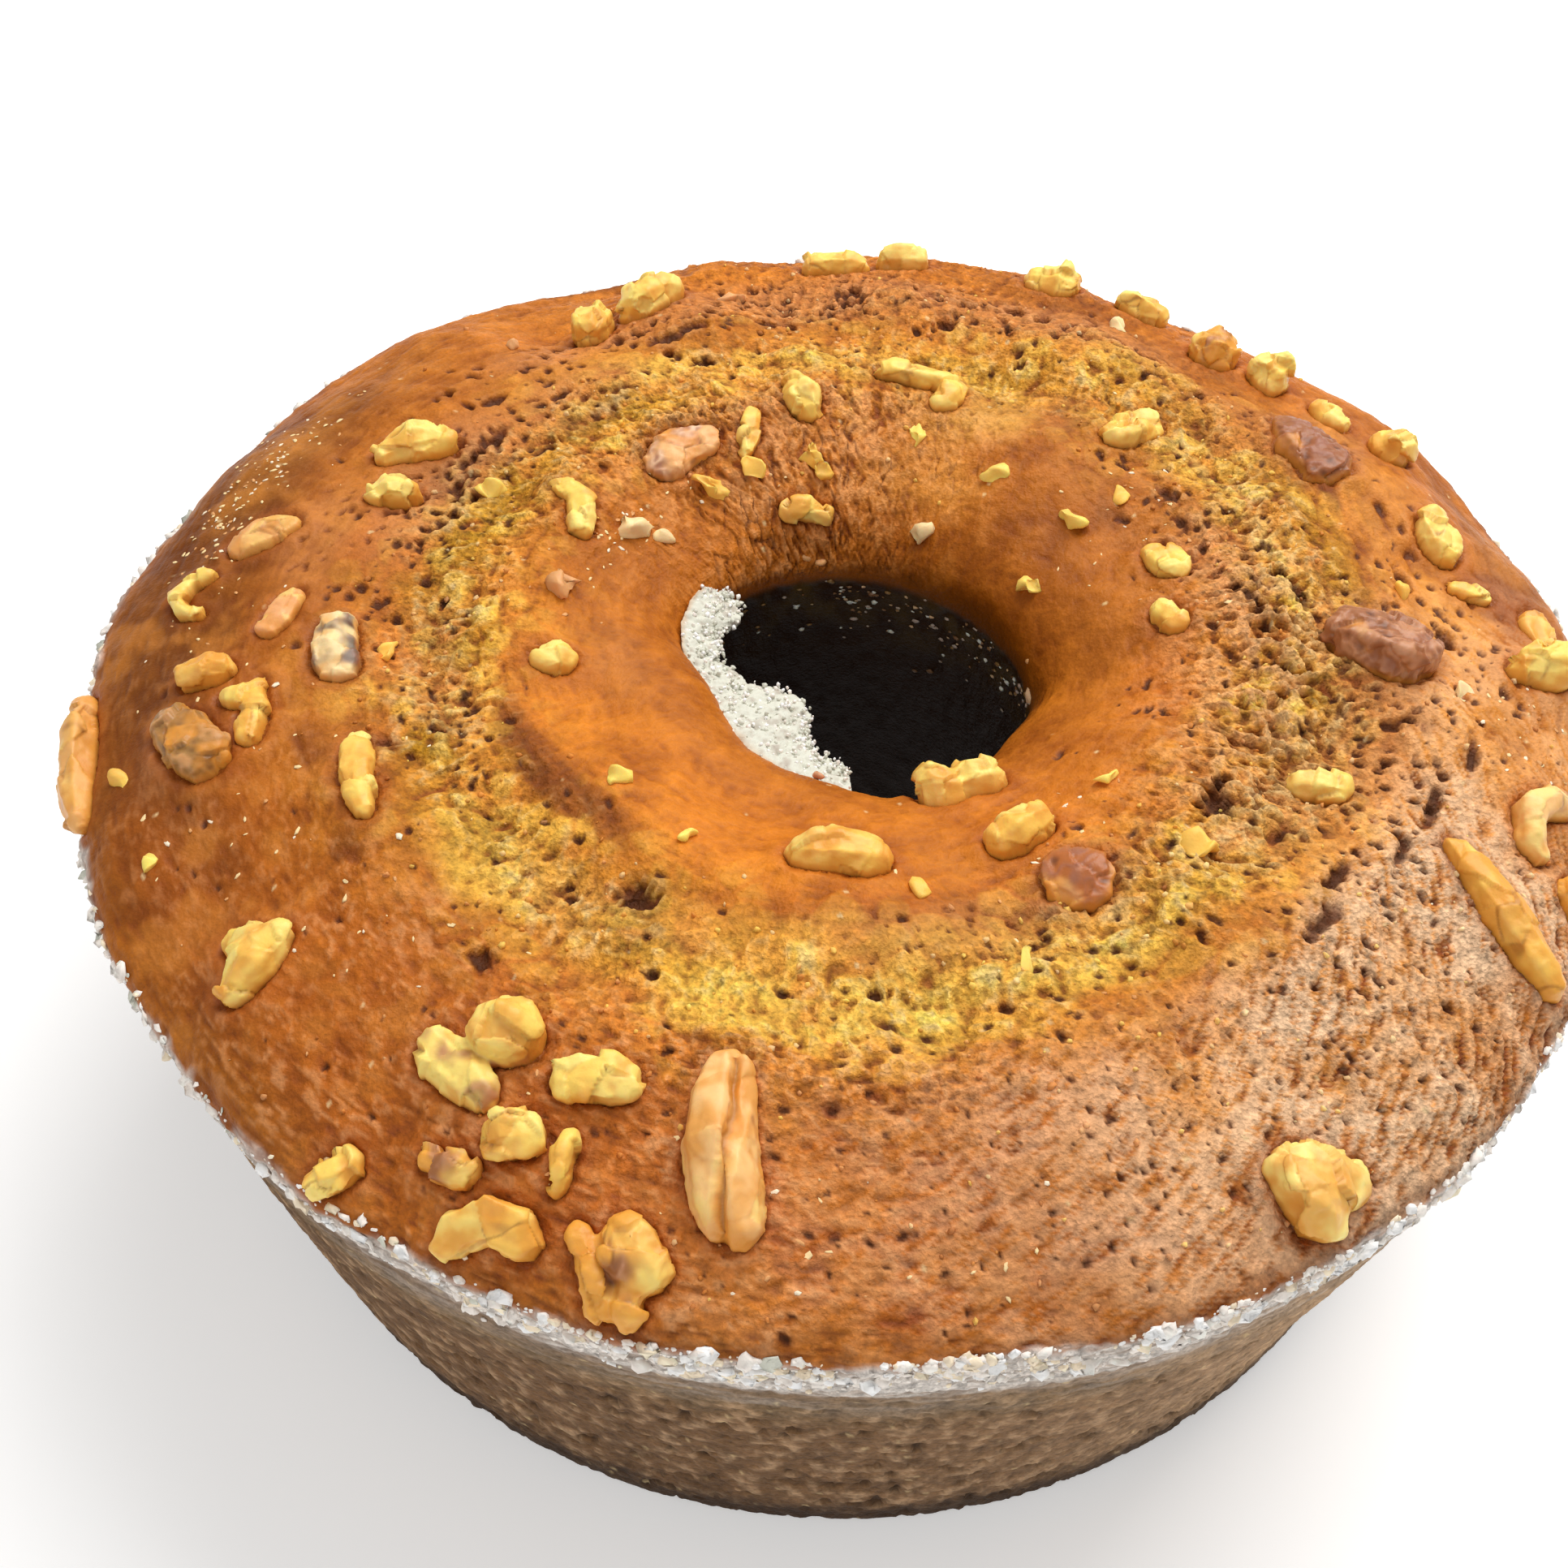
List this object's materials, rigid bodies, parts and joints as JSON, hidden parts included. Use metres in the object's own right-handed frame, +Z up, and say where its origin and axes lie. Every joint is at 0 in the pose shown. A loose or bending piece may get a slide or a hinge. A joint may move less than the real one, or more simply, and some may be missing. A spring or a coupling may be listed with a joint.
{
  "type": "walnut cake",
  "caption": "Round walnut ring cake from a tube tin, with sloping sides, a hole through its middle, a cracked golden crest and walnut pieces set in a brown crust.",
  "frame": {"origin": "centre of the flat base, on the ring's axis", "axes": "+Z up along the ring's axis; -Y is the side nearest the picture's camera"},
  "size_m": [0.2515, 0.2492, 0.1083],
  "materials": {
    "crust": "baked orange-brown crust, golden and porous along the crack, floury at the rim",
    "walnut_flesh": "broken walnut flesh, pale yellow, slightly waxy",
    "walnut_toasted": "toasted walnut, caramel brown",
    "walnut_skin": "walnut with its dark skin, dull sheen"
  },
  "bodies": {
    "root": {"cake": "crust", "walnut_back_edge_1": "walnut_flesh", "walnut_back_edge_2": "walnut_flesh", "walnut_back_edge_3": "walnut_flesh", "walnut_back_edge_4": "walnut_flesh", "walnut_back_edge_5": "walnut_flesh", "walnut_back_edge_6": "walnut_flesh", "walnut_back_edge_7": "walnut_toasted", "walnut_back_edge_8": "walnut_flesh", "walnut_back_edge_9": "walnut_flesh", "walnut_back_edge_10": "walnut_flesh", "walnut_back_crest_1": "walnut_flesh", "walnut_back_crest_2": "walnut_flesh", "walnut_back_crest_3": "walnut_flesh", "walnut_back_crest_4": "walnut_skin", "walnut_inner_back_1": "walnut_skin", "walnut_inner_back_2": "walnut_flesh", "walnut_inner_back_3": "walnut_flesh", "walnut_left_crest_1": "walnut_flesh", "walnut_left_crest_2": "walnut_flesh", "walnut_left_crest_3": "walnut_flesh", "walnut_left_crest_4": "walnut_flesh", "walnut_left_crest_5": "walnut_skin", "walnut_left_crest_6": "walnut_flesh", "walnut_left_edge_1": "walnut_flesh", "walnut_left_edge_2": "walnut_toasted", "walnut_left_edge_3": "walnut_flesh", "walnut_left_edge_4": "walnut_flesh", "walnut_left_edge_5": "walnut_skin", "walnut_left_edge_6": "walnut_toasted", "walnut_left_edge_7": "walnut_toasted", "walnut_front_left_1": "walnut_flesh", "walnut_front_left_2": "walnut_flesh", "walnut_front_left_3": "walnut_flesh", "walnut_front_left_4": "walnut_flesh", "walnut_front_left_5": "walnut_flesh", "walnut_front_left_6": "walnut_toasted", "walnut_front_left_7": "walnut_flesh", "walnut_front_left_8": "walnut_flesh", "walnut_front_left_9": "walnut_flesh", "walnut_front_1": "walnut_flesh", "walnut_front_2": "walnut_flesh", "walnut_hole_1": "walnut_flesh", "walnut_hole_2": "walnut_flesh", "walnut_hole_3": "walnut_flesh", "walnut_hole_4": "walnut_toasted", "walnut_right_crest_1": "walnut_flesh", "walnut_right_crest_2": "walnut_flesh", "walnut_right_crest_3": "walnut_skin", "walnut_right_crest_4": "walnut_flesh", "walnut_right_edge_1": "walnut_flesh", "walnut_right_edge_2": "walnut_flesh", "walnut_right_edge_3": "walnut_toasted", "walnut_right_edge_4": "walnut_flesh", "walnut_right_edge_5": "walnut_flesh", "walnut_right_edge_6": "walnut_flesh", "walnut_right_edge_7": "walnut_toasted"}
  },
  "joints": []
}
